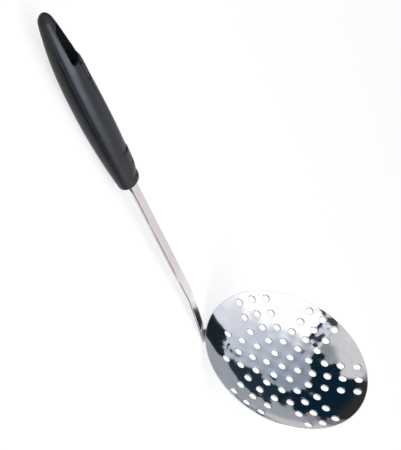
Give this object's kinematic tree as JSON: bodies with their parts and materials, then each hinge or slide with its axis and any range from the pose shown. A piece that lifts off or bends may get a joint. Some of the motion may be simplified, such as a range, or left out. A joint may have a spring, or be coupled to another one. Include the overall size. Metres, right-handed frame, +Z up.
{
  "type": "kitchen skimmer",
  "caption": "Shallow round perforated steel bowl, spot-welded to a flat steel strap that ends in a black two-part handle with a hanging slot.",
  "frame": {"origin": "centre of the bounding box in X and Y, on the table that the skimmer lies on", "axes": "+X from the bowl to the handle's tip, +Y across the bowl, +Z up from the table"},
  "size_m": [0.3366, 0.115, 0.0893],
  "materials": {
    "polished_steel": "mirror-polished stainless sheet with fine wear",
    "brushed_strap": "satin, finely brushed along the strap",
    "black_plastic": "semi-gloss moulded black plastic",
    "dark_rivet": "blackened steel"
  },
  "bodies": {
    "root": {"bowl": "polished_steel", "shank": "brushed_strap", "spot_welds": "polished_steel", "handle_upper": "black_plastic", "handle_lower": "black_plastic", "tang_rivet": "dark_rivet"}
  },
  "joints": []
}
